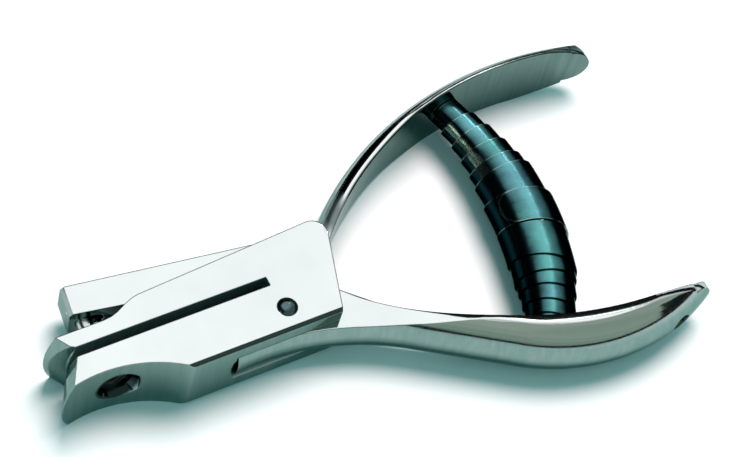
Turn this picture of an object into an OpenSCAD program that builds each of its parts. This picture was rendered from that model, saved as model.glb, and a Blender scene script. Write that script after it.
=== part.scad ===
// Ticket punch: a plier-like hand punch lying on its side.
// The body and the upper handle are one forging, the lever and the lower handle another.
// X runs along the ticket throat towards the handles, Y across it, Z is the pivot's direction.

/* [Body] */
// Thickness of the body and width of both handles
body_t = 16; // [12:0.5:20]
// Depth of the ticket throat behind the front of its straight part
throat_depth = 42.1; // [30:0.5:44]
// Width of the ticket throat
throat_w = 2; // [1.5:0.1:3]
// Height of the throat's centre line above the pivot
throat_y = 6.75; // [6.5:0.05:7.2]
// Distance from the pivot to the punch axis
punch_x = 36.2; // [35.6:0.1:36.6]
// Radius of the scoop under the lower prong
scoop_r = 28.5; // [26:0.5:32]
// Edge bevel along the lower side of the faces
edge_bevel = 0.7; // [0.3:0.1:1.2]
// Radius that rounds the noses of the prongs across the thickness
nose_r = 20; // [16:0.5:30]

/* [Lever] */
// Width of the lever slot in the body
slot_w = 8; // [6:0.25:9]
// Side clearance between lever and slot
slot_clear = 0.25; // [0.1:0.05:0.5]
// Length of the arm from the pivot to its front end
arm_len = 39; // [38.6:0.1:40]
// Chamfer ground on the edges of the arm's front
front_chamfer = 0.8; // [0.3:0.1:1.2]

/* [Handles] */
// Radius of the upper handle's inner face
up_r = 75.5; // [74:0.5:77]
// Depth of the upper handle's rounded section
up_d = 4; // [3:0.25:5]
// Radius of the lower handle's inner face
low_r = 84.5; // [83.5:0.5:85.5]
// Radius of the lower handle's belly
belly_r = 45; // [43:0.5:47]
// Radius of the upper handle's rounded back across its width
up_back_r = 11; // [9:0.5:14]
// Radius of the lower handle's rounded back across its width
low_back_r = 9; // [8.5:0.5:12]
// Radius that rounds the edges of the handles' backs
rim_r = 3; // [2:0.25:4]
// Radius of the two arcs that meet at the handle tips
tip_r = 30; // [24:1:40]
// radius of the handles' tips
end_r = 5; // [4:0.25:6]
// Lanyard hole diameter
lanyard_d = 4.25; // [3:0.25:5]

/* [Pins] */
// Pivot rivet shank diameter
pivot_d = 4; // [3:0.25:5]
// Rivet head diameter
rivet_head_d = 4.3; // [4:0.1:7]
// Rivet head height
rivet_head_h = 1.1; // [0.6:0.1:2]
// Running clearance on the radius of pins and of the punch
run_clear = 0.05; // [0.02:0.01:0.1]
// Punch diameter
punch_d = 3.2; // [2.5:0.1:4]
// Die bush outer diameter
die_d = 6; // [5:0.25:6.5]
// Chip exit diameter
chip_d = 7; // [6.5:0.25:8]
// Retaining pin diameter
keep_d = 1.2; // [1:0.05:1.4]
// Radius of the punch's neck
neck_r = 0.9; // [0.8:0.05:1.1]

/* [Spring] */
// Largest radius of the double volute spring
coil_r = 7.3; // [7:0.1:7.6]
// Strip thickness
strip_t = 0.24; // [0.15:0.01:0.3]
// Strip width
strip_w = 8; // [7:0.1:8.5]
// Radial step a turn
coil_step = 0.68; // [0.66:0.01:0.72]
// Turns from the middle to the upper handle
up_turns = 6; // [5:0.1:6]
// Turns from the middle to the lower handle
low_turns = 5; // [4:0.1:5.5]
// Sideways bow of the spring
spring_bow = 6.3; // [5.5:0.1:6.5]
// Spring stud head diameter
stud_d = 4.4; // [3.5:0.1:5]

/* [Hidden] */
$fn = 64;
// where the pivot stands from the middle of the footprint
pivot_at = [-22.3, -3.15, 0];
mid = body_t / 2;
low_y = -4.9;
throat_end = -0.9;
throat_front = throat_end - throat_depth;
slot_z0 = mid - slot_w / 2;
lever_t = slot_w - 2 * slot_clear;
lever_z0 = mid - lever_t / 2;
scoop_c = [-40, 0.75 - scoop_r];
blend_r = 3;
nose_in = sqrt(nose_r * nose_r - mid * mid);
// the handles' arcs start from their roots, and the belly from the end of the straight back
up_root = [16, 11.5];
up_c = up_root + up_r * [cos(43.2), -sin(43.2)];
low_root = [18, -3.45];
low_c = low_root + low_r * [cos(46.66), sin(46.66)];
back_a = 33;
back_end = [41.5, -25.75];
// the straight back starts where the arm's hollow underside ends
back_len = 21.5;
back_start = back_end + back_len * [-cos(back_a), sin(back_a)];
back_n = [sin(back_a), cos(back_a)];
under_r = 56;
under_c = back_start + (0.08 - under_r) * back_n;
belly_c = back_end + belly_r * [sin(back_a), cos(back_a)];
lanyard_c = belly_c + (belly_r - 1.85) * [cos(74.8), -sin(74.8)];
tip_a = 84.7;
tip_back_r = 26;
tip_c = up_c + (up_r + up_d - tip_back_r + 0.4) * [cos(tip_a), sin(tip_a)];
prong_top = 11.1;
guide_top = prong_top;
throat_lo = throat_y - throat_w / 2;
throat_hi = throat_y + throat_w / 2;
// height of the retaining pin and of the punch's top at rest
keep_y = 18.2;
keep_z = mid + neck_r + run_clear + keep_d / 2;
punch_top = 20;
socket_w = punch_d + 0.3;
socket_x0 = -punch_x - punch_d / 2 - 0.15;
socket_x1 = -punch_x + punch_d / 2 + 2.5;
keep_len = 10;
up_seat_a = 101;
up_seat = up_c + up_r * [cos(up_seat_a), sin(up_seat_a)];
low_seat_a = 252.7;
low_seat = low_c + low_r * [cos(low_seat_a), sin(low_seat_a)];
// the spring's curved axis
seat_d = low_seat - up_seat;
chord = norm(seat_d);
axis_r = (chord * chord / 4 + spring_bow * spring_bow) / (2 * spring_bow);
half_a = asin(chord / 2 / axis_r);
chord_a = atan2(seat_d[1], seat_d[0]);
axis_c = (up_seat + low_seat) / 2 + (axis_r - spring_bow) * [sin(chord_a), -cos(chord_a)];
axis_len = axis_r * half_a * PI / 90;
seat_clear = 0.2;
// the end turns lean on the handles, so each end keeps clear of its seat by its tilt
up_tilt = abs(chord_a + half_a - up_seat_a + 180);
low_tilt = abs(chord_a - half_a - low_seat_a + 360);
up_gap = (coil_r - coil_step * up_turns + strip_t / 2) * sin(up_tilt) + seat_clear;
low_gap = (coil_r - coil_step * low_turns + strip_t / 2) * sin(low_tilt) + seat_clear;
wide_pitch = strip_w + 0.55;
// the widest turn sits a little nearer the lower handle
coil_mid = 0.555 * axis_len;
up_pitch = (coil_mid - up_gap - strip_w / 2 - wide_pitch) / (up_turns - 1);
low_pitch = (axis_len - coil_mid - low_gap - strip_w / 2 - wide_pitch) / (low_turns - 1);

module at_pivot() translate(pivot_at) children();

module flat(z0, z1) translate([0, 0, z0]) linear_extrude(z1 - z0) children();

// half of a handle's cross-section: a round back at x = r whose edges are rounded again
module back_profile(r, back_r) {
    c = sqrt(pow(back_r - rim_r, 2) - pow(mid - rim_r, 2));
    difference() {
        intersection() {
            union() {
                square([r - back_r, body_t]);
                translate([r - back_r, mid]) circle(back_r, $fn = 128);
            }
            square([r + 1, body_t]);
        }
        for (side = [-1, 1])
            translate([r - back_r + c, mid + side * (mid - rim_r)]) difference() {
                polygon([[0, 0], [2 * c, 2 * side * (mid - rim_r)],
                    [2 * c, 3 * side * rim_r], [0, 3 * side * rim_r]]);
                circle(rim_r + 0.03);
            }
    }
}

// a disc whose rim is rounded across the thickness, about the Z axis
module round_rim(r, back_r) rotate_extrude($fn = 256) back_profile(r, back_r);

// seen from the side: a handle that flares from its root and ends in two arcs and a round tip
module side_shape(x0, x1, flare_x0, flare_x1, w0, tip_z) {
    xe = x1 - end_r;
    xb = xe - sqrt(pow(tip_r - end_r, 2) - pow(tip_r - tip_z, 2));
    xt = xe - sqrt(pow(tip_r - end_r, 2) - pow(tip_z - body_t + tip_r, 2));
    flare = [for (k = [0:10])
        let (f = k / 10)
        [flare_x0 + (flare_x1 - flare_x0) * f, w0 + (mid - w0) * f * f * (3 - 2 * f)]];
    translate([0, 60, 0]) rotate([90, 0, 0]) linear_extrude(120) {
        difference() {
            polygon(concat([[x0, mid - w0]], [for (k = [0:10]) [flare[k][0], mid - flare[k][1]]],
                [[xe, 0], [xe, body_t]],
                [for (k = [10:-1:0]) [flare[k][0], mid + flare[k][1]]], [[x0, mid + w0]]));
            difference() {
                translate([min(xb, xt), -1]) square([30, body_t + 2]);
                intersection() {
                    union() {
                        translate([xb, tip_r]) circle(tip_r, $fn = 256);
                        translate([xb - 60, -2]) square([60, body_t + 4]);
                    }
                    union() {
                        translate([xt, body_t - tip_r]) circle(tip_r, $fn = 256);
                        translate([xt - 60, -2]) square([60, body_t + 4]);
                    }
                }
            }
        }
        translate([xe, tip_z]) circle(end_r, $fn = 128);
    }
}

module nose_cut(p, a, y0, y1) {
    translate([p[0], p[1], 0]) rotate([0, 0, a])
        difference() {
            translate([-nose_in, y0, -1]) cube([nose_in + 12, y1 - y0, body_t + 2]);
            translate([-nose_in, y0 - 1, mid]) rotate([-90, 0, 0])
                cylinder(h = y1 - y0 + 2, r = nose_r, $fn = 128);
        }
}

module body_plan() {
    polygon([[-56, low_y], [10.15, low_y], [15.64, 12.1], [12.4, 16.29], [-26.3, 13.9], [-27.9, 13.55],
        [-29.4, 12.95], [-31.6, 11.85], [-33.2, 11.3], [-35, prong_top], [-56, prong_top]]);
    translate([12.6, 13.1]) circle(3.2);
}

module scoop_cut() {
    bx = scoop_c[0] + sqrt((scoop_r + blend_r) * (scoop_r + blend_r) - pow(low_y + blend_r - scoop_c[1], 2));
    b = [bx, low_y + blend_r];
    t = scoop_c + (b - scoop_c) * scoop_r / (scoop_r + blend_r);
    flat(-1, body_t + 1) {
        translate(scoop_c) circle(scoop_r, $fn = 128);
        difference() {
            polygon([t, [b[0], low_y], [b[0], low_y - 2], [t[0] - 2, low_y - 2]]);
            translate(b) circle(blend_r + 0.04);
        }
    }
}

module bevel_cut() {
    e = edge_bevel + 1;
    translate([-30, 0, 0]) rotate([90, 0, 90]) linear_extrude(48) {
        polygon([[low_y - 1, e], [low_y + e, -1], [low_y - 1, -1]]);
        polygon([[low_y - 1, body_t - e], [low_y - 1, body_t + 1], [low_y + e, body_t + 1]]);
    }
}

module pocket_plan() {
    polygon([[-12.97, -9], [-12.97, throat_lo - 1], [0.1, throat_lo - 1], [0.1, throat_hi + 1],
        [-30, 10.7], [-34.5, prong_top + 0.02], [-34.5, 22], [10.2, 22], [9.5, 9], [10, 5.5],
        [20, 2.9], [20, -9]]);
}

module upper_handle() {
    intersection() {
        translate([up_c[0], up_c[1], 0])
            difference() {
                round_rim(up_r + up_d, up_back_r);
                translate([0, 0, -1]) cylinder(h = body_t + 2, r = up_r, $fn = 256);
            }
        side_shape(6, 92.6, 33, 51, 6, mid + 1);
        flat(0, body_t) {
            polygon([[10.5, 6], [tip_c[0], 6], tip_c + [1, 0],
                tip_c + 2 * tip_back_r * [cos(tip_a), sin(tip_a)], [10.5, 80]]);
            translate(tip_c) circle(tip_back_r, $fn = 128);
        }
    }
    // fillet between the body's shoulder and the handle's back
    flat(mid - 3, mid + 3) polygon([[11, 15], [11, 16], [13.5, 16.5], [15.5, 17.2], [17, 18.1], [17, 15]]);
}

module body() {
    color([0.78, 0.8, 0.79]) at_pivot() difference() {
        union() {
            difference() {
                flat(0, body_t) body_plan();
                scoop_cut();
                bevel_cut();
            }
            upper_handle();
        }
        nose_cut([throat_front, throat_lo], 150.26, -2, 22);
        nose_cut([throat_front, throat_hi], -146.7, -22, 1);
        // ticket throat, square at its end
        translate([-70, throat_lo, -1]) cube([70 + throat_end, throat_w, body_t + 2]);
        // lever slot, round at its closed end
        flat(slot_z0, slot_z0 + slot_w) pocket_plan();
        intersection() {
            translate([-7.8, -9, mid]) rotate([-90, 0, 0]) cylinder(h = 9 + throat_lo - 1, r = 6);
            translate([-20, -9, slot_z0]) cube([15, 20, slot_w]);
        }
        translate([0, 0, -1]) cylinder(h = body_t + 2, d = pivot_d + 2 * run_clear);
        // countersink for the peened tail of the rivet
        translate([0, 0, -0.01])
            cylinder(h = 1, r1 = pivot_d / 2 + run_clear + 0.8, r2 = pivot_d / 2 + run_clear);
        translate([-punch_x, throat_hi - 1, mid]) rotate([-90, 0, 0])
            cylinder(h = 9, d = punch_d + 2 * run_clear);
        translate([-punch_x, -8, mid]) rotate([-90, 0, 0]) cylinder(h = 8 + throat_lo + 0.5, d = die_d);
        // chip exit with its bevelled rim
        translate([-punch_x, -8, mid]) rotate([-90, 0, 0]) cylinder(h = 8 + throat_lo - 3, d = chip_d);
        translate([-punch_x, -0.4, mid]) rotate([-90, 0, 0])
            cylinder(h = 1.9, r1 = chip_d / 2 + 1.4, r2 = chip_d / 2);
        translate([up_seat[0], up_seat[1], mid]) rotate([0, 90, up_seat_a])
            translate([0, 0, -1]) cylinder(h = 3.2, d = 2);
    }
}

module lever_plan() {
    a = arm_len;
    polygon([[-a + 0.6, 23.1], [-a - 0.3, 16.7], [-28.7, 14.9], [-4, 9.9], [-0.5, 9.6], [1.8, 8.6],
        [1.8, 4.6],
        [-9, throat_lo - 1.45], [-12.2, 1], [-12.5, -6], [10, -9], [18, -12.4], [24, -11], [22, -7.2],
        [17.6, -2.7], [13, 1.8], [8.8, 5], [8.2, 9], [8.6, 16.68]]);
}

// both edges of the arm's slanted front
module front_chamfer_cut() {
    for (z = [lever_z0, lever_z0 + lever_t])
        translate([-arm_len + 0.15, 19.9, z]) rotate([0, 0, -8]) rotate([0, 45, 0])
            cube([front_chamfer * sqrt(2), 16, front_chamfer * sqrt(2)], center = true);
}

// clears the arm's hollow underside, which is round across like the handle's back
module under_cut() {
    intersection() {
        translate([under_c[0], under_c[1], 0]) rotate_extrude($fn = 256) difference() {
            translate([0, -2]) square([under_r + low_back_r, body_t + 4]);
            translate([under_r + low_back_r, mid]) circle(low_back_r, $fn = 128);
        }
        flat(-1, body_t + 1)
            polygon([back_start - 20 * back_n, back_start + 8 * back_n, [-16, 2], [-16, -30]]);
    }
}

module lower_handle() {
    difference() {
        intersection() {
            union() {
                intersection() {
                    translate([belly_c[0], belly_c[1], 0]) round_rim(belly_r, low_back_r);
                    flat(-1, body_t + 1)
                        polygon([back_end, [back_end[0], -60], [100, -60], [100, -10], belly_c]);
                }
                // straight part of the back, in line with the belly
                translate([back_end[0], back_end[1], 0]) rotate([0, 0, -back_a])
                    translate([-back_len - 1, 30.05, 0]) rotate([90, 0, 90]) linear_extrude(back_len + 2)
                        mirror([1, 0]) back_profile(30, low_back_r);
                // root, whose underside is cleared later
                flat(-1, body_t + 1)
                    polygon([back_start - 6 * back_n, back_start + 14 * back_n, [12, 5], [12, -20]]);
            }
            side_shape(12, 87.3, 13, 42, lever_t / 2, mid);
            flat(-1, body_t + 1) polygon([[12.2, -60], [96, -60], [96, 5], [12.2, 5]]);
        }
        translate([low_c[0], low_c[1], -1]) cylinder(h = body_t + 2, r = low_r, $fn = 256);
    }
}

module lever() {
    color([0.76, 0.78, 0.77]) at_pivot() difference() {
        union() {
            flat(lever_z0, lever_z0 + lever_t) lever_plan();
            lower_handle();
        }
        under_cut();
        translate([0, 0, -1]) cylinder(h = body_t + 2, d = pivot_d + 2 * run_clear);
        front_chamfer_cut();
        // long socket that the punch's top shifts along, and the hole for its retaining pin
        translate([socket_x0 + socket_w / 2, 12, mid - socket_w / 2])
            cube([socket_x1 - socket_x0 - socket_w, punch_top + 0.4 - 12, socket_w]);
        for (x = [socket_x0 + socket_w / 2, socket_x1 - socket_w / 2])
            translate([x, 12, mid]) rotate([-90, 0, 0]) cylinder(h = punch_top + 0.4 - 12, d = socket_w);
        translate([-arm_len - 2, keep_y, keep_z]) rotate([0, 90, 0]) cylinder(h = keep_len + 2, d = keep_d);
        translate([low_seat[0], low_seat[1], mid]) rotate([0, 90, low_seat_a])
            translate([0, 0, -1]) cylinder(h = 3.2, d = 2);
        translate([lanyard_c[0], lanyard_c[1], mid]) rotate([0, 90, -64]) translate([0, 0, -12])
            cylinder(h = 24, d = lanyard_d);
    }
}

module pivot_rivet() {
    color([0.2, 0.24, 0.26]) at_pivot() {
        translate([0, 0, 0.02]) cylinder(h = body_t - 0.02, d = pivot_d);
        translate([0, 0, 0.02]) cylinder(h = 0.9, r1 = pivot_d / 2 + 0.75, r2 = pivot_d / 2);
        intersection() {
            hr = (rivet_head_d * rivet_head_d / 4 + rivet_head_h * rivet_head_h) / (2 * rivet_head_h);
            translate([0, 0, body_t + rivet_head_h - hr]) sphere(hr, $fn = 96);
            translate([0, 0, body_t]) cylinder(h = 3, d = rivet_head_d + 2);
        }
    }
}

module punch() {
    color([0.85, 0.86, 0.86]) at_pivot() translate([-punch_x, 0, mid]) rotate([-90, 0, 0])
        difference() {
            translate([0, 0, throat_hi + 0.4]) cylinder(h = punch_top - throat_hi - 0.4, d = punch_d);
            // neck that the retaining pin runs past, wide enough for the arm's tilt
            translate([0, 0, keep_y - keep_d / 2 - 0.28]) difference() {
                cylinder(h = keep_d + 0.56, d = punch_d + 1);
                translate([0, 0, -1]) cylinder(h = keep_d + 3, r = neck_r);
            }
        }
}

module punch_retaining_pin() {
    color([0.8, 0.82, 0.81]) at_pivot() translate([-arm_len, keep_y, keep_z]) rotate([0, 90, 0])
        cylinder(h = keep_len, d = keep_d);
}

module die_bush() {
    color([0.45, 0.46, 0.47]) at_pivot() translate([-punch_x, throat_lo - 2.9, mid]) rotate([-90, 0, 0])
        difference() {
            cylinder(h = 2.9, d = die_d);
            translate([0, 0, -1]) cylinder(h = 5, d = punch_d + 4 * run_clear);
            translate([0, 0, -0.01]) cylinder(h = 1.4, d = punch_d + 1);
        }
}

function axis_pt(s, q, ph) =
    let (a = chord_a + 90 + half_a - 2 * half_a * s / axis_len)
    let (m = axis_r + q * cos(ph))
    [axis_c[0] + m * cos(a), axis_c[1] + m * sin(a), mid + q * sin(ph)];

function coil_s(turn) =
    coil_mid + (abs(turn) < 1 ? turn * wide_pitch
        : turn < 0 ? -wide_pitch + (turn + 1) * up_pitch
        : wide_pitch + (turn - 1) * low_pitch);

function coil_q(turn) = coil_r - coil_step * abs(turn);

ring_n = 20;
grind_turn = 0.3;
rings = round((up_turns + low_turns) * ring_n);
function ring_turn(i) = -up_turns + (up_turns + low_turns) * i / rings;
// place along the axis where a turn meets a handle's face
function seat_s(c, r, q, ph, end) =
    let (m = axis_r + q * cos(ph))
    let (d = axis_c - c)
    let (b = acos((r * r - d * d - m * m) / (2 * m * norm(d))))
    (chord_a + 90 + half_a - atan2(d[1], d[0]) - end * b) * axis_len / (2 * half_a);

// the end turns are ground to the handles' curves
function ring_pt(i, u, v) =
    let (k = ring_turn(i))
    let (q = coil_q(k) + v * strip_t / 2)
    let (f = max(0, min(1, (1 - k - up_turns + grind_turn) / grind_turn)))
    let (g = max(0, min(1, (1 + k - low_turns + grind_turn) / grind_turn)))
    let (s0 = coil_s(k) - strip_w / 2)
    let (s1 = coil_s(k) + strip_w / 2)
    let (e0 = f == 0 ? s0 : s0 + f * (seat_s(up_c, up_r - seat_clear, q, -360 * k, -1) - s0))
    let (e1 = g == 0 ? s1 : s1 + g * (seat_s(low_c, low_r - seat_clear, q, -360 * k, 1) - s1))
    axis_pt(e0 + (u + 1) / 2 * (e1 - e0), q, -360 * k);

module return_spring() {
    corners = [[-1, -1], [-1, 1], [1, 1], [1, -1]];
    pts = [for (i = [0:rings]) for (c = corners) ring_pt(i, c[0], c[1])];
    sides = [for (i = [0:rings - 1]) for (j = [0:3])
        let (a = 4 * i + j)
        let (b = 4 * i + (j + 1) % 4)
        each [[a, b + 4, b], [a, a + 4, b + 4]]];
    n = 4 * rings;
    caps = [[0, 1, 2], [0, 2, 3], [n, n + 2, n + 1], [n, n + 3, n + 2]];
    color([0.12, 0.16, 0.18]) at_pivot() polyhedron(points = pts, faces = concat(sides, caps));
    across = [-1, -0.5, 0, 0.5, 1];
    gap = min([for (i = [0:2:rings - ring_n - 1]) for (k = [ring_n - 1:ring_n + 1])
        for (u = across) for (w = across) for (v = [-1, 1]) for (x = [-1, 1])
            i + k > rings ? 99 : norm(ring_pt(i, u, v) - ring_pt(i + k, w, x))]);
    echo(spring_least_gap = gap);
}

module stud(seat, a) {
    translate([seat[0], seat[1], mid]) rotate([0, 90, a]) {
        translate([0, 0, -2.2]) cylinder(h = 2.2 + 0.02, d = stud_d);
        translate([0, 0, -0.5]) cylinder(h = 2.6, d = 2);
    }
}

module upper_spring_stud() color([0.7, 0.72, 0.72]) at_pivot() stud(up_seat, up_seat_a);

module lower_spring_stud() color([0.7, 0.72, 0.72]) at_pivot() stud(low_seat, low_seat_a);

body();
lever();
pivot_rivet();
punch();
punch_retaining_pin();
die_bush();
return_spring();
upper_spring_stud();
lower_spring_stud();
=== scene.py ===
from math import acos, asin, atan2, cos, pi, radians, sin, sqrt
import bmesh
import bpy
from mathutils import Matrix, Vector


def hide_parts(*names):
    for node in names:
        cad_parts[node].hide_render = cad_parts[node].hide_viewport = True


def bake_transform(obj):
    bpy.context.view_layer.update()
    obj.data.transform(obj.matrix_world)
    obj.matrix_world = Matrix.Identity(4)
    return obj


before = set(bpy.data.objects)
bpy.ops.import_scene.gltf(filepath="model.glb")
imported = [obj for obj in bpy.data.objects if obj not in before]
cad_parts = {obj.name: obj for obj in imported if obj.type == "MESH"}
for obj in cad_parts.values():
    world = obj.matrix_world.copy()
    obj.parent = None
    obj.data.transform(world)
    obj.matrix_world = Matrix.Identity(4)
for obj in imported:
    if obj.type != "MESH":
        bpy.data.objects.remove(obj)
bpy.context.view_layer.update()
scene = bpy.context.scene
scene.view_settings.view_transform = "Standard"
mm = 0.001
pivotAt = Vector((-22.3, -3.15, 0.0))  # the pivot in the part's frame, mm
print("frame loaded:", ", ".join(sorted(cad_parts)))


class Wire:  # a shader socket that takes part in Python sums
    def __init__(self, tree, socket=None):
        self.tree, self.socket = tree, socket

    def node(self, kind, settings={}, inputs={}, output=0):
        made = self.tree.nodes.new(kind)
        for key, value in settings.items():
            setattr(made, key, value)
        for key, value in inputs.items():
            if isinstance(value, Wire):
                self.tree.links.new(value.socket, made.inputs[key])
            else:
                made.inputs[key].default_value = value
        return Wire(self.tree, made.outputs[output] if made.outputs else None)

    def sum(self, operation, a, b):
        return self.node("ShaderNodeMath", {"operation": operation}, {0: a, 1: b})

    def __add__(self, other):
        return self.sum("ADD", self, other)

    def __radd__(self, other):
        return self.sum("ADD", other, self)

    def __sub__(self, other):
        return self.sum("SUBTRACT", self, other)

    def __rsub__(self, other):
        return self.sum("SUBTRACT", other, self)

    def __mul__(self, other):
        return self.sum("MULTIPLY", self, other)

    def __rmul__(self, other):
        return self.sum("MULTIPLY", other, self)

    def __truediv__(self, other):
        return self.sum("DIVIDE", self, other)

    def __rtruediv__(self, other):
        return self.sum("DIVIDE", other, self)


def newMaterial(name):
    made = bpy.data.materials.new(name)
    made.use_nodes = True
    made.node_tree.nodes.clear()
    return made, Wire(made.node_tree)


def rgb(r, g, b):
    return (r, g, b, 1.0)


def grain(w, coord, scale, stretch, detail, coarse=0.6):  # stretched noise, for brushing and clouding
    drawn = w.node("ShaderNodeMapping", {}, {"Vector": coord, "Scale": stretch})
    return w.node("ShaderNodeTexNoise", {},
                  {"Vector": drawn, "Scale": scale, "Detail": detail, "Roughness": coarse})


def vary(noise, base, gain):
    return base + noise * gain


def split(w, joined):
    return [w.node("ShaderNodeSeparateXYZ", {}, {0: joined}, n) for n in range(3)]


def spread(w, value, low, high, toLow, toHigh):
    return w.node("ShaderNodeMapRange", {"clamp": True},
                  {"Value": value, "From Min": low, "From Max": high, "To Min": toLow, "To Max": toHigh})


def blendTone(w, share, first, second):
    return w.node("ShaderNodeMix", {"data_type": "RGBA"}, {0: share, 6: first, 7: second}, 2)


def vector(w, operation, a, b, output=0):
    return w.node("ShaderNodeVectorMath", {"operation": operation}, {0: a, 1: b}, output)


# plated and polished forgings, whose handles lean off towards a rounded edge
# lean, turn and rim go by the reach from the middle of each handle's arc; the rim stripes are a painted dark
# reflection
plate = dict(tone=(0.5, 0.535, 0.53), dull=(0.46, 0.5, 0.495), side=(0.115, 0.225, 0.205),
             shadeTone=(0.02, 0.038, 0.037), sheen=(0.5, 0.62, 0.6), rough=(0.06, 0.13), sideShade=0.8, endDark=0.85,
             cloud=(45.0, (1, 1, 1), 4.0), lines=(900.0, (1.0, 1.0, 0.06), 2.0), toneFade=(0.35, 0.65),
             roughMix=(0.4, 0.6), roughFade=(0.3, 0.7), sideGrain=(0.8, 0.4), innerGrain=(0.7, 0.6),
             groundRough=(0.25, 0.4), groundDull=0.6, edge=0.0004, edgeSamples=8,
             handleEdge=0.0006, handleSamples=16, brush=0.02, bumpDepth=0.0002, turnRun=0.01,
             innerFacing=(-0.85, -0.6), leanFacing=(0.7, 0.9), turnFacing=(0.7, 0.85),
             riseFacing=(0.2, 0.5), rimFacing=(0.6, 0.8))
bodyPlate = dict(slope=0.323, start=-0.0105, run=0.002, arc=(0.04874, -0.04333, 0.0),
                 lean=(0.0763, 0.0777, 0, 1.8), turn=(0.0755, 0.0761, -1.2, 0), turnFrom=-0.006, rise=0.55,
                 inner=0.35, sideShadeFrom=(0.6, 0.9), rim=(0.0766, 0.077, 0, 0.92), endBand=(0.044, 0.052))
leverPlate = dict(slope=0.0, start=0.0, run=0.012, arc=(0.05369, 0.05486, 0.0),
                  lean=(0.0843, 0.0862, -0.75, 0), turn=(0.0862, 0.088, 0, 0.45), turnFrom=0.014, rise=0.0,
                  inner=0.0, sideShadeFrom=(0.45, 0.75), rim=(0.0, 1.0, 0, 0), endBand=(1.0, 2.0))
bodySpots = dict(chipAt=(-0.0585, 0.008), chipFade=(0.0043, 0.0048), chipSide=(0.0025, 0.0026),
                 slotFloor=(0.0045, 0.005), slotFacing=(0.8, 0.9), bevel=(1.38, 1.41, 0, 0.88),
                 throatAt=0.0036, throatHalf=(0.0011, 0.0012), throatEnd=(-0.023, -0.022), throatDull=0.5,
                 neckAt=(-0.0033, 0.0138), neckFade=(0.002, 0.0065), neckTop=(0.0142, 0.0144), neckDark=0.75,
                 wallFacing=(0.4, 0.6))
leverSpots = dict(holeAt=(0.0545, -0.03172, 0.008), holeAcross=(0.8988, 0.4384), holeFade=(0.00214, 0.00225),
                  holeDark=0.9, holeFrom=(0.048, 0.05), frontEnd=(-0.0605, -0.0598),
                  frontOver=(0.3, 0.4), frontUnder=(0.9, 0.97))


def within(w, a, b, fade, most=1):  # a round spot, full inside the first radius and gone at the second
    return spread(w, a * a + b * b, fade[0] ** 2, fade[1] ** 2, most, 0)


def bodyMarks(w, at, facing, s):
    # dark: painted shade in the chip hole and the handle's neck, and a painted dark reflection along the
    # bevel; ground: throat walls, neck, slot floor
    hole = within(w, at[0] - s["chipAt"][0], at[2] - s["chipAt"][1], s["chipFade"])
    hole = hole * spread(w, at[1], *s["chipSide"], 1, 0)
    floor = spread(w, at[2], *s["slotFloor"], 1, 0) * spread(w, facing[2], *s["slotFacing"], 0, 1)
    bevel = spread(w, facing[2] - facing[1], *s["bevel"])
    across = w.node("ShaderNodeMath", {"operation": "ABSOLUTE"}, {0: at[1] - s["throatAt"]})
    throat = spread(w, across, *s["throatHalf"], 1, 0) * spread(w, at[0], *s["throatEnd"], 1, 0)
    throat = throat * spread(w, facing[2], *s["wallFacing"], 1, 0)
    neck = within(w, at[0] - s["neckAt"][0], at[1] - s["neckAt"][1], s["neckFade"])
    neck = neck * spread(w, at[2], *s["neckTop"], 1, 0) * spread(w, facing[2], *s["wallFacing"], 0, 1)
    dark = w.sum("MAXIMUM", w.sum("MAXIMUM", hole, neck * s["neckDark"]), bevel)
    return dark, w.sum("MAXIMUM", w.sum("MAXIMUM", throat * s["throatDull"], neck), floor)


# painted shade inside the lanyard hole
def leverMarks(w, at, facing, s):  # dark: the lanyard hole; ground: the chamfers of the arm's front
    off = [at[n] - s["holeAt"][n] for n in range(3)]
    side = off[0] * s["holeAcross"][0] + off[1] * s["holeAcross"][1]
    hole = within(w, side, off[2], s["holeFade"], s["holeDark"]) * spread(w, at[0], *s["holeFrom"], 0, 1)
    front = spread(w, at[0], *s["frontEnd"], 1, 0) * spread(w, facing[2], *s["frontOver"], 0, 1)
    return hole, front * spread(w, facing[2], *s["frontUnder"], 1, 0)


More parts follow.
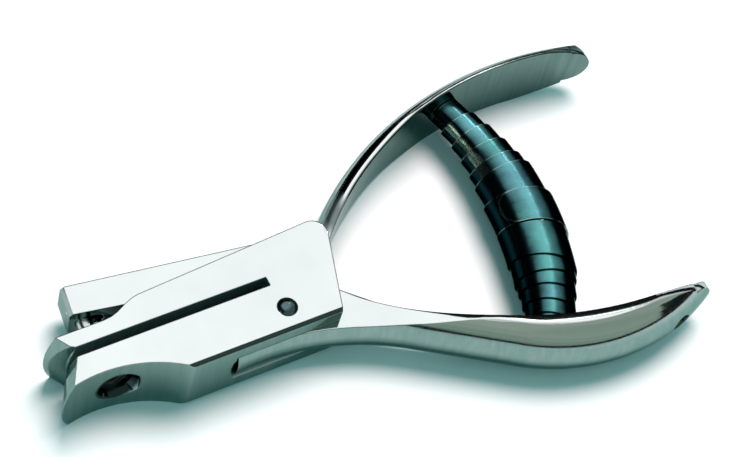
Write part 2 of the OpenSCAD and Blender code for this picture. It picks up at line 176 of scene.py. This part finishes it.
def nickelPlate(name, form, marks, spots):
    made, w = newMaterial(name)
    coord = w.node("ShaderNodeTexCoord", output=3)
    cloud, lines = grain(w, coord, *plate["cloud"]), grain(w, coord, *plate["lines"])
    normal = w.node("ShaderNodeNewGeometry", output=3)
    at, facing = split(w, coord), split(w, normal)
    handle = spread(w, at[0] - at[1] * form["slope"], form["start"], form["start"] + form["run"], 0, 1)
    outward = vector(w, "MULTIPLY", vector(w, "SUBTRACT", coord, form["arc"]), (1, 1, 0))
    reach = w.node("ShaderNodeVectorMath", {"operation": "LENGTH"}, {0: outward}, 1)

    # the normal leans along the handle's edge
    lean = spread(w, reach, *form["lean"]) * spread(w, facing[2], *plate["leanFacing"], 0, 1) * handle
    turnOn = spread(w, at[0], form["turnFrom"], form["turnFrom"] + plate["turnRun"], 0, 1)
    turnOver = spread(w, reach, *form["turn"]) * spread(w, facing[2], *plate["turnFacing"], 0, 1)
    lean = lean + turnOver * turnOn * handle
    leant = w.node("ShaderNodeVectorMath", {"operation": "SCALE"}, {0: outward, 3: lean / reach})
    rise = spread(w, facing[2], *plate["riseFacing"], 0, form["rise"])
    rise = rise * spread(w, facing[2], *plate["leanFacing"], 1, 0) * handle
    leant = vector(w, "ADD", leant, w.node("ShaderNodeCombineXYZ", {}, {2: rise}))

    # polished faces with painted shade on the sides and in dark spots and stripes
    worn = spread(w, cloud, *plate["toneFade"], 0, 1)
    tone = blendTone(w, worn, rgb(*plate["dull"]), rgb(*plate["tone"]))
    # painted shade: faces that turn away from the top are toned towards the dark side colour, crossed by
    # brushing lines
    turned = w.node("ShaderNodeVectorMath", {"operation": "NORMALIZE"}, {0: vector(w, "ADD", normal, leant)})
    sides = spread(w, split(w, turned)[2], *form["sideShadeFrom"], plate["sideShade"], 0)
    tone = blendTone(w, sides * vary(lines, *plate["sideGrain"]), tone, rgb(*plate["side"]))
    # painted shade on the handle's inner face, crossed by brushing lines
    inward = vector(w, "DOT_PRODUCT", normal, outward, 1) / reach
    inner = spread(w, inward, *plate["innerFacing"], form["inner"], 0) * handle
    # painted dark reflection: stripes along the handle's edge band and a band towards its far end
    endBand = spread(w, at[0], *form["endBand"], 0, plate["endDark"])
    rim = w.sum("MAXIMUM", spread(w, reach, *form["rim"]), endBand)
    rim = rim * spread(w, facing[2], *plate["rimFacing"], 0, 1) * handle
    dark, ground = marks(w, at, facing, spots)
    dark = w.sum("MAXIMUM", w.sum("MAXIMUM", dark, rim), inner * vary(lines, *plate["innerGrain"]))
    # the painted shade and painted dark reflections all blend towards one dark tone
    tone = blendTone(w, dark, tone, rgb(*plate["shadeTone"]))
    mixed = cloud * plate["roughMix"][0] + lines * plate["roughMix"][1]
    rough = spread(w, mixed, *plate["roughFade"], *plate["rough"])
    rough = rough + ground * vary(cloud, *plate["groundRough"])

    fine = w.node("ShaderNodeBevel", {"samples": plate["edgeSamples"]}, {"Radius": plate["edge"]})
    broad = w.node("ShaderNodeBevel", {"samples": plate["handleSamples"]}, {"Radius": plate["handleEdge"]})
    soft = w.node("ShaderNodeMix", {"data_type": "VECTOR"}, {0: handle, 4: fine, 5: broad}, 1)
    soft = w.node("ShaderNodeVectorMath", {"operation": "NORMALIZE"}, {0: vector(w, "ADD", soft, leant)})
    bump = w.node("ShaderNodeBump", {}, {"Strength": plate["brush"], "Distance": plate["bumpDepth"],
                                         "Height": lines, "Normal": soft})
    shader = w.node("ShaderNodeBsdfPrincipled", {},
                    {"Base Color": tone, "Metallic": 1 - ground * plate["groundDull"], "Roughness": rough,
                     "Normal": bump, "Specular Tint": rgb(*plate["sheen"])})
    w.node("ShaderNodeOutputMaterial", {}, {"Surface": shader})
    return made


# small steel parts
finish = dict(cloud=(220.0, (1, 1, 1), 4.0), lines=(1500.0, (1, 0.2, 1), 2.0), toneFade=(0.35, 0.65),
              roughMix=(0.5, 0.5), roughFade=(0.3, 0.7), edge=0.0002, edgeSamples=6,
              brush=0.03, bumpDepth=0.0002)
steels = dict(
    pivot_rivet=dict(tone=(0.07, 0.125, 0.135), dull=(0.045, 0.08, 0.09), rough=(0.14, 0.22)),
    punch=dict(tone=(0.52, 0.56, 0.55), dull=(0.34, 0.37, 0.37), rough=(0.16, 0.3)),
    punch_retaining_pin=dict(tone=(0.50, 0.54, 0.53), dull=(0.34, 0.37, 0.37), rough=(0.2, 0.34)),
    # the die bush is toned dark as painted shade inside the chip hole
    die_bush=dict(tone=(0.17, 0.18, 0.18), dull=(0.08, 0.09, 0.09), rough=(0.35, 0.5)),
    upper_spring_stud=dict(tone=(0.5, 0.55, 0.54), dull=(0.36, 0.4, 0.4), rough=(0.2, 0.3)),
    lower_spring_stud=dict(tone=(0.5, 0.55, 0.54), dull=(0.36, 0.4, 0.4), rough=(0.2, 0.3)))


def steel(name, look):
    made, w = newMaterial(name)
    coord = w.node("ShaderNodeTexCoord", output=3)
    cloud, lines = grain(w, coord, *finish["cloud"]), grain(w, coord, *finish["lines"])
    worn = spread(w, cloud, *finish["toneFade"], 0, 1)
    tone = blendTone(w, worn, rgb(*look["dull"]), rgb(*look["tone"]))
    mixed = cloud * finish["roughMix"][0] + lines * finish["roughMix"][1]
    rough = spread(w, mixed, *finish["roughFade"], *look["rough"])
    soft = w.node("ShaderNodeBevel", {"samples": finish["edgeSamples"]}, {"Radius": finish["edge"]})
    bump = w.node("ShaderNodeBump", {}, {"Strength": finish["brush"], "Distance": finish["bumpDepth"],
                                         "Height": lines, "Normal": soft})
    shader = w.node("ShaderNodeBsdfPrincipled", {},
                    {"Base Color": tone, "Metallic": 1.0, "Roughness": rough, "Normal": bump})
    w.node("ShaderNodeOutputMaterial", {}, {"Surface": shader})
    return made


def dress(node, material):
    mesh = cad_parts[node].data
    mesh.materials.clear()
    mesh.materials.append(material)


dress("body", nickelPlate("nickelBody", bodyPlate, bodyMarks, bodySpots))
dress("lever", nickelPlate("nickelLever", leverPlate, leverMarks, leverSpots))
for node, look in steels.items():
    dress(node, steel("steel_" + node, look))
print("CAD nodes dressed")


# the blued volute spring: two strips wound round one arc, the lower one's end lapped over the upper
volute = dict(upSeat=(56.63, 33.93), lowSeat=(50.87, -22.67), upFace=(71.04, -40.18, 75.3),
              lowFace=(75.99, 58.01, 84.3), upHold=(56.6, 33.0, 8.0), lowHold=(50.9, -22.0, 8.0),
              midZ=8.0, bow=6.3, middle=33.5, radius=7.3, upStep=0.6, lowStep=0.48, width=8.0, thick=0.34,
              upRise=(8.4, 2.8, 3.9, 4.6, 3.9, 4.5, 0.2), lowRise=(8.2, 1.8, 3.4, 3.4, 3.0, 0.2),
              lap=-0.42, lapGap=0.04, upEnd=-0.1, tipWidth=0.02, grind=0.1, ringsATurn=60, across=10, sharp=40)
blued = dict(tone=(0.072, 0.245, 0.24), dark=(0.008, 0.022, 0.026), violet=(0.085, 0.24, 0.27),
             worn=(0.2, 0.31, 0.27), bright=(0.62, 0.78, 0.68), rough=(0.16, 0.26), sheen=(0.1, 0.2, 0.2),
             cloud=(160.0, (1, 1, 1), 3.0), lines=(3.0, (0.6, 26.0, 1.0), 4.0), hue=(90.0, (1, 1, 1), 2.0),
             litAt=97, litRagged=(0.5, 0.25), litFade=(0.0, 0.5), seatTurns=(-6.6, -6.0), seatLit=0.1,
             sideGlintAt=147, sideGlintRagged=(0.12, 0.06), sideGlintFade=(0.975, 0.997), sideGlintFrom=(-6.4, -6.0),
             sideGlintTo=(-3.4, -2.2), wearGlint=0.8, wearGlintRagged=0.25, wearGlintFade=(0.02, 0.2), wearGlintTurns=(0.0, 0.3),
             tipRun=(1.0, 5.0), tipWearGlint=0.22, hueFade=(0.45, 0.62), roughFade=(0.3, 0.7),
             brush=0.05, bumpDepth=0.0002)


def makeVolute(v):
    up, low = Vector(v["upSeat"]), Vector(v["lowSeat"])
    across = low - up
    chord = across.length
    arcR = (chord * chord / 4 + v["bow"] ** 2) / (2 * v["bow"])
    half = asin(chord / 2 / arcR)
    heading = atan2(across.y, across.x)
    centre = (up + low) / 2 + (arcR - v["bow"]) * Vector((sin(heading), -cos(heading)))
    length = 2 * half * arcR

    def along(turn):  # place of a turn's middle along the arc
        rises, n = (v["upRise"], -turn) if turn < 0 else (v["lowRise"], turn)
        whole = min(int(n), len(rises) - 1)
        gone = sum(rises[:whole]) + (n - whole) * rises[whole]
        return v["middle"] - gone if turn < 0 else v["middle"] + gone

    def seat(face, m, sign):  # where a turn meets a handle's curved face
        d = centre - Vector(face[:2])
        bend = acos((face[2] ** 2 - d.length_squared - m * m) / (2 * m * d.length))
        return (heading + pi / 2 + half - atan2(d.y, d.x) - sign * bend) * length / (2 * half)

    def place(turn, side, r, halfWidth):
        phase = -2 * pi * turn
        m = arcR + r * cos(phase)
        low0, high0 = along(turn) - halfWidth, along(turn) + halfWidth
        grindUp = max(0.0, min(1.0, (1 + v["grind"] - turn - len(v["upRise"])) / v["grind"]))
        grindLow = max(0.0, min(1.0, (1 + v["grind"] + turn - len(v["lowRise"])) / v["grind"]))
        if grindUp:
            low0 += grindUp * (seat(v["upFace"], m, -1) - low0)
        if grindLow:
            high0 += grindLow * (seat(v["lowFace"], m, 1) - high0)
        s = low0 + (side + 1) / 2 * (high0 - low0)
        a = heading + pi / 2 + half - 2 * half * s / length
        spot = Vector((centre.x + m * cos(a), centre.y + m * sin(a), v["midZ"] + r * sin(phase)))
        return (spot + pivotAt) * mm

    bm = bmesh.new()
    uv, rim = bm.loops.layers.uv.new("strip"), bm.loops.layers.uv.new("rim")
    sides = [-1 + 2 * j / v["across"] for j in range(v["across"] + 1)]

    def wind(start, end, radiusAt, widthAt):
        rings = round((end - start) * v["ringsATurn"])
        turns = [start + (end - start) * i / rings for i in range(rings + 1)]
        last = [bm.verts.new(place(turns[0], side, radiusAt(turns[0]), widthAt(turns[0]))) for side in sides]
        front = [bm.edges.new(pair) for pair in zip(last, last[1:])]
        for before, turn in zip(turns, turns[1:]):  # the strip grows ring by ring
            grown = bmesh.ops.extrude_edge_only(bm, edges=front)["geom"]
            fresh = {e for e in grown if isinstance(e, bmesh.types.BMVert)}
            step = {old: next(e.other_vert(old) for e in old.link_edges if e.other_vert(old) in fresh)
                    for old in last}
            for old, side in zip(last, sides):
                step[old].co = place(turn, side, radiusAt(turn), widthAt(turn))
            spots = {old: (before, side) for old, side in zip(last, sides)}
            spots.update({step[old]: (turn, side) for old, side in zip(last, sides)})
            for face in (e for e in grown if isinstance(e, bmesh.types.BMFace)):
                for loop in face.loops:
                    at, side = spots[loop.vert]
                    loop[uv].uv = (at, (side + 1) / 2)
                    # mm from the strip's edges and from its start
                    loop[rim].uv = ((1 - abs(side)) * widthAt(at), (at - start) * 2 * pi * radiusAt(at))
            last = [step[old] for old in last]
            front = [bm.edges.get(pair) for pair in zip(last, last[1:])]

    full = v["width"] / 2

    def tongue(turn):  # the lapped end is cut round
        run = (turn - v["lap"]) * 2 * pi * v["radius"] / full
        return full if run >= 1 else max(v["tipWidth"], full * sqrt(max(0.0, 1 - (1 - run) ** 2)))

    def upRadius(turn):  # under the lap the strip keeps one radius
        inset = v["upStep"] * -turn if turn < v["lap"] else v["upStep"] * -v["lap"] + v["lapGap"]
        return v["radius"] - inset

    wind(-len(v["upRise"]), v["upEnd"], upRadius, lambda turn: full)
    wind(v["lap"], len(v["lowRise"]), lambda turn: v["radius"] - v["lowStep"] * max(0.0, turn), tongue)
    bmesh.ops.recalc_face_normals(bm, faces=bm.faces)
    bmesh.ops.solidify(bm, geom=bm.faces[:], thickness=v["thick"] * mm)
    mesh = bpy.data.meshes.new("volute_spring")
    bm.to_mesh(mesh)
    bm.free()
    mesh.shade_smooth()
    mesh.set_sharp_from_angle(angle=radians(v["sharp"]))
    made = bpy.data.objects.new("volute_spring", mesh)
    scene.collection.objects.link(made)
    return made


def bluedStrip(b):
    made, w = newMaterial("bluedStrip")
    coord = w.node("ShaderNodeTexCoord", output=3)
    strip = w.node("ShaderNodeUVMap", {"uv_map": "strip"})
    cloud, lines = grain(w, coord, *b["cloud"]), grain(w, strip, *b["lines"])
    turn = w.node("ShaderNodeSeparateXYZ", {}, {0: strip}, 0)

    def toward(degrees):  # 1 on the side of each ring that this angle names
        return w.node("ShaderNodeMath", {"operation": "COSINE"}, {0: turn * (2 * pi) + radians(degrees)})

    def ragged(value, byCloud, byLines):  # breaks up the edge of a patch
        return value + (cloud - 0.5) * byCloud + (lines - 0.5) * byLines

    # painted highlight: each ring is light on the side that faces the light and painted in shade elsewhere,
    # and in painted shade near the upper seat
    away = w.node("ShaderNodeMath", {"operation": "ARCCOSINE"}, {0: toward(b["litAt"])})
    lit = spread(w, ragged(away, *b["litRagged"]), *b["litFade"], 1, 0)
    lit = lit * spread(w, turn, *b["seatTurns"], b["seatLit"], 1)
    drift = spread(w, grain(w, coord, *b["hue"]), *b["hueFade"], 0, 1)
    hue = blendTone(w, drift, rgb(*b["tone"]), rgb(*b["violet"]))
    tone = blendTone(w, lit, rgb(*b["dark"]), hue)

    # lighter edges on the upper rings and round the lapped end: painted edge highlight with some edge wear;
    # then a painted highlight streak down the upper rings
    inset, ahead, _ = split(w, w.node("ShaderNodeUVMap", {"uv_map": "rim"}))
    tip = spread(w, ahead, *b["tipRun"], b["tipWearGlint"], 1)
    edgeNearness = w.sum("MINIMUM", inset, ahead) * tip + (cloud - 0.5) * b["wearGlintRagged"]
    wearGlint = spread(w, edgeNearness, *b["wearGlintFade"], b["wearGlint"], 0)
    tone = blendTone(w, wearGlint * spread(w, turn, *b["wearGlintTurns"], 1, 0), tone, rgb(*b["worn"]))
    # painted highlight: a pale streak on one side of the upper rings
    sideGlint = spread(w, ragged(toward(b["sideGlintAt"]), *b["sideGlintRagged"]), *b["sideGlintFade"], 0, 1)
    sideGlint = sideGlint * spread(w, turn, *b["sideGlintTo"], 1, 0) * spread(w, turn, *b["sideGlintFrom"], 0, 1)
    tone = blendTone(w, sideGlint, tone, rgb(*b["bright"]))

    rough = spread(w, lines, *b["roughFade"], *b["rough"])
    bump = w.node("ShaderNodeBump", {}, {"Strength": b["brush"], "Distance": b["bumpDepth"], "Height": lines})
    shader = w.node("ShaderNodeBsdfPrincipled", {}, {"Base Color": tone, "Metallic": 1.0, "Roughness": rough,
                                                     "Normal": bump, "Specular Tint": rgb(*b["sheen"])})
    w.node("ShaderNodeOutputMaterial", {}, {"Surface": shader})
    return made


spring = makeVolute(volute)
spring.data.materials.append(bluedStrip(blued))
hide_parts("return_spring")
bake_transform(spring)
print("spring wound")


# the stage: pale floor, one key lamp for the floor, and cards that only the metal sees
stage = dict(floor=(0.92, 0.92, 0.92), floorSize=20.0, floorZ=-0.00002, keySize=0.6, keyW=12.5,
             keyAt=(0.27, 0.26, 0.92), keyTone=(1.0, 0.86, 0.865), fill=(0.42, 0.95, 0.95), fillStrength=0.46,
             panels=((0.9, (-0.05, 0.25, 0.62), 1.8), (0.05, (0.29, 0.27, 0.446), 18.0)),
             cardR=0.6, cardStep=0.002, cardSteps=48, dark=(0.01, 0.016, 0.016),
             cards=((-155, 140, 0.0, 0.06, (0.014, 0.009, 0.005)), (-150, -50, 0.06, 1.1, (0.44, 0.54, 0.46)),
                    (-50, 0, 0.24, 1.1, (0.44, 0.54, 0.46)), (-50, 45, 0.06, 0.24, None),
                    (45, 135, 0.06, 0.45, None), (135, 210, 0.06, 0.72, None),
                    (140, 205, 0.0, 0.045, (0.8, 1.0, 0.9)),
                    (174, 194, 0.09, 0.2, (3.0, 3.6, 3.2))))  # from, to, bottom, top, tone


def addObject(name, bm):
    mesh = bpy.data.meshes.new(name)
    bm.to_mesh(mesh)
    bm.free()
    made = bpy.data.objects.new(name, mesh)
    scene.collection.objects.link(made)
    return made


def addCard(name, bm, tone):  # a card that only shows in the metal
    card = addObject(name, bm)
    card.visible_camera = card.visible_shadow = card.visible_diffuse = False
    made, w = newMaterial(name)
    shader = w.node("ShaderNodeEmission", {}, {"Color": rgb(*tone), "Strength": 1.0})
    w.node("ShaderNodeOutputMaterial", {}, {"Surface": shader})
    card.data.materials.append(made)


def makeStage(s):
    bm = bmesh.new()
    bmesh.ops.create_grid(bm, x_segments=1, y_segments=1, size=s["floorSize"])
    floor = addObject("floor", bm)
    floor.location.z = s["floorZ"]
    made, w = newMaterial("paleFloor")
    shader = w.node("ShaderNodeBsdfDiffuse", {}, {"Color": rgb(*s["floor"])})
    w.node("ShaderNodeOutputMaterial", {}, {"Surface": shader})
    floor.data.materials.append(made)

    for n, (start, end, bottom, top, tone) in enumerate(s["cards"]):
        bm = bmesh.new()
        turn = Matrix.Rotation(radians(start), 3, "Z")
        edge = [bm.verts.new(turn @ Vector((s["cardR"] - s["cardStep"] * n, 0, z))) for z in (bottom, top)]
        rod = bm.edges.new(edge)
        bmesh.ops.spin(bm, geom=edge + [rod], cent=(0, 0, 0), axis=(0, 0, 1), angle=radians(end - start),
                       steps=s["cardSteps"])
        addCard("card%d" % n, bm, tone or s["dark"])
    for n, (size, spot, light) in enumerate(s["panels"]):  # a large soft one and a small bright one
        bm = bmesh.new()
        aim = (-Vector(spot)).to_track_quat("-Z", "Y").to_matrix().to_4x4()
        bmesh.ops.create_grid(bm, x_segments=1, y_segments=1, size=size / 2,
                              matrix=Matrix.Translation(spot) @ aim)
        addCard("panel%d" % n, bm, [light] * 3)

    lamp = bpy.data.lights.new("key", "AREA")
    lamp.shape, lamp.size, lamp.energy, lamp.color = "DISK", s["keySize"], s["keyW"], s["keyTone"]
    holder = bpy.data.objects.new("key", lamp)
    holder.location = s["keyAt"]
    holder.rotation_mode = "QUATERNION"
    holder.rotation_quaternion = (-Vector(s["keyAt"])).to_track_quat("-Z", "Y")
    holder.visible_glossy = False
    scene.collection.objects.link(holder)

    world = bpy.data.worlds.new("studio")
    world.use_nodes = True
    world.node_tree.nodes.clear()
    w = Wire(world.node_tree)
    rays = [w.node("ShaderNodeLightPath", output=name)
            for name in ("Is Camera Ray", "Is Glossy Ray", "Is Transmission Ray")]
    seen = w.sum("MINIMUM", rays[0] + rays[1] + rays[2], 1.0)
    fill = w.node("ShaderNodeBackground", {}, {"Color": rgb(*s["fill"]), "Strength": s["fillStrength"]})
    white = w.node("ShaderNodeBackground", {}, {"Color": rgb(1, 1, 1), "Strength": 1.0})
    backdrop = w.node("ShaderNodeMixShader", {}, {0: seen, 1: fill, 2: white})
    w.node("ShaderNodeOutputWorld", {}, {"Surface": backdrop})
    scene.world = world


makeStage(stage)
print("stage set")


# camera fitted to the photograph
shot = dict(at=(-178.13, -199.99, 456.21), right=(0.8665, -0.4663, 0.1781), down=(-0.3180, -0.7907, -0.5231),
            forward=(0.3848, 0.3966, -0.8335), lens=124.8, sensor=36.0, clip=(0.01, 100.0))


def makeCamera(c):
    lensData = bpy.data.cameras.new("camera")
    lensData.lens, lensData.sensor_width = c["lens"], c["sensor"]
    lensData.clip_start, lensData.clip_end = c["clip"]
    made = bpy.data.objects.new("camera", lensData)
    right, up, back = Vector(c["right"]), -Vector(c["down"]), -Vector(c["forward"])
    place = Matrix((right, up, back)).transposed().to_4x4()
    place.translation = (Vector(c["at"]) + pivotAt) * mm
    made.matrix_world = place
    scene.collection.objects.link(made)
    scene.camera = made


makeCamera(shot)
print("camera placed")
